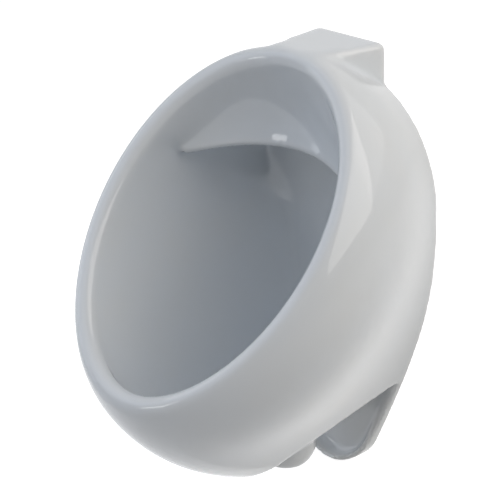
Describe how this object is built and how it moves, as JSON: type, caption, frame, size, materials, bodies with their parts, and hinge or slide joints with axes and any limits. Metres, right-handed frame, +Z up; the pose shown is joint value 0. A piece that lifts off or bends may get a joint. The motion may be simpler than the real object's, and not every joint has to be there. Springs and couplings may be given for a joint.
{
  "type": "wall hung urinal",
  "caption": "Wall hung urinal: a leaning oval china bowl with a rolled rim, a hood ledge over a rear water inlet, a lift out waste strainer and hidden wall hangers.",
  "frame": {"origin": "on the wall plane, in the bowl's middle plane, at the height of the bowl's lowest edge", "axes": "+Z up, +Y into the wall, so the bowl stands forward along -Y, +X to the right of a person who faces the wall"},
  "size_m": [0.3594, 0.3437, 0.5042],
  "materials": {
    "china": "gloss white glaze",
    "brass": "machined",
    "chrome": "bright",
    "stainless": "satin",
    "zinc_steel": "zinc plated",
    "rubber": "matt black"
  },
  "bodies": {
    "urinal": {"bowl": "china", "inlet_tail": "brass", "inlet_gasket": "rubber", "inlet_washer": "rubber", "inlet_backnut": "brass", "inlet_filter": "stainless", "spreader": "chrome", "spreader_seal": "rubber", "spreader_grub_screw": "stainless", "hanger_left": "zinc_steel", "hanger_right": "zinc_steel", "hanger_pad_left": "rubber", "hanger_pad_right": "rubber"},
    "strainer": {"strainer_ring": "rubber", "strainer_plate": "chrome", "strainer_spider": "stainless", "strainer_screw": "stainless", "strainer_nut": "brass"}
  },
  "joints": [
    {"name": "strainer_lift", "type": "slide", "parent": "urinal", "child": "strainer", "axis": [0, 0, 1], "range_m": [0, 0.08]}
  ]
}
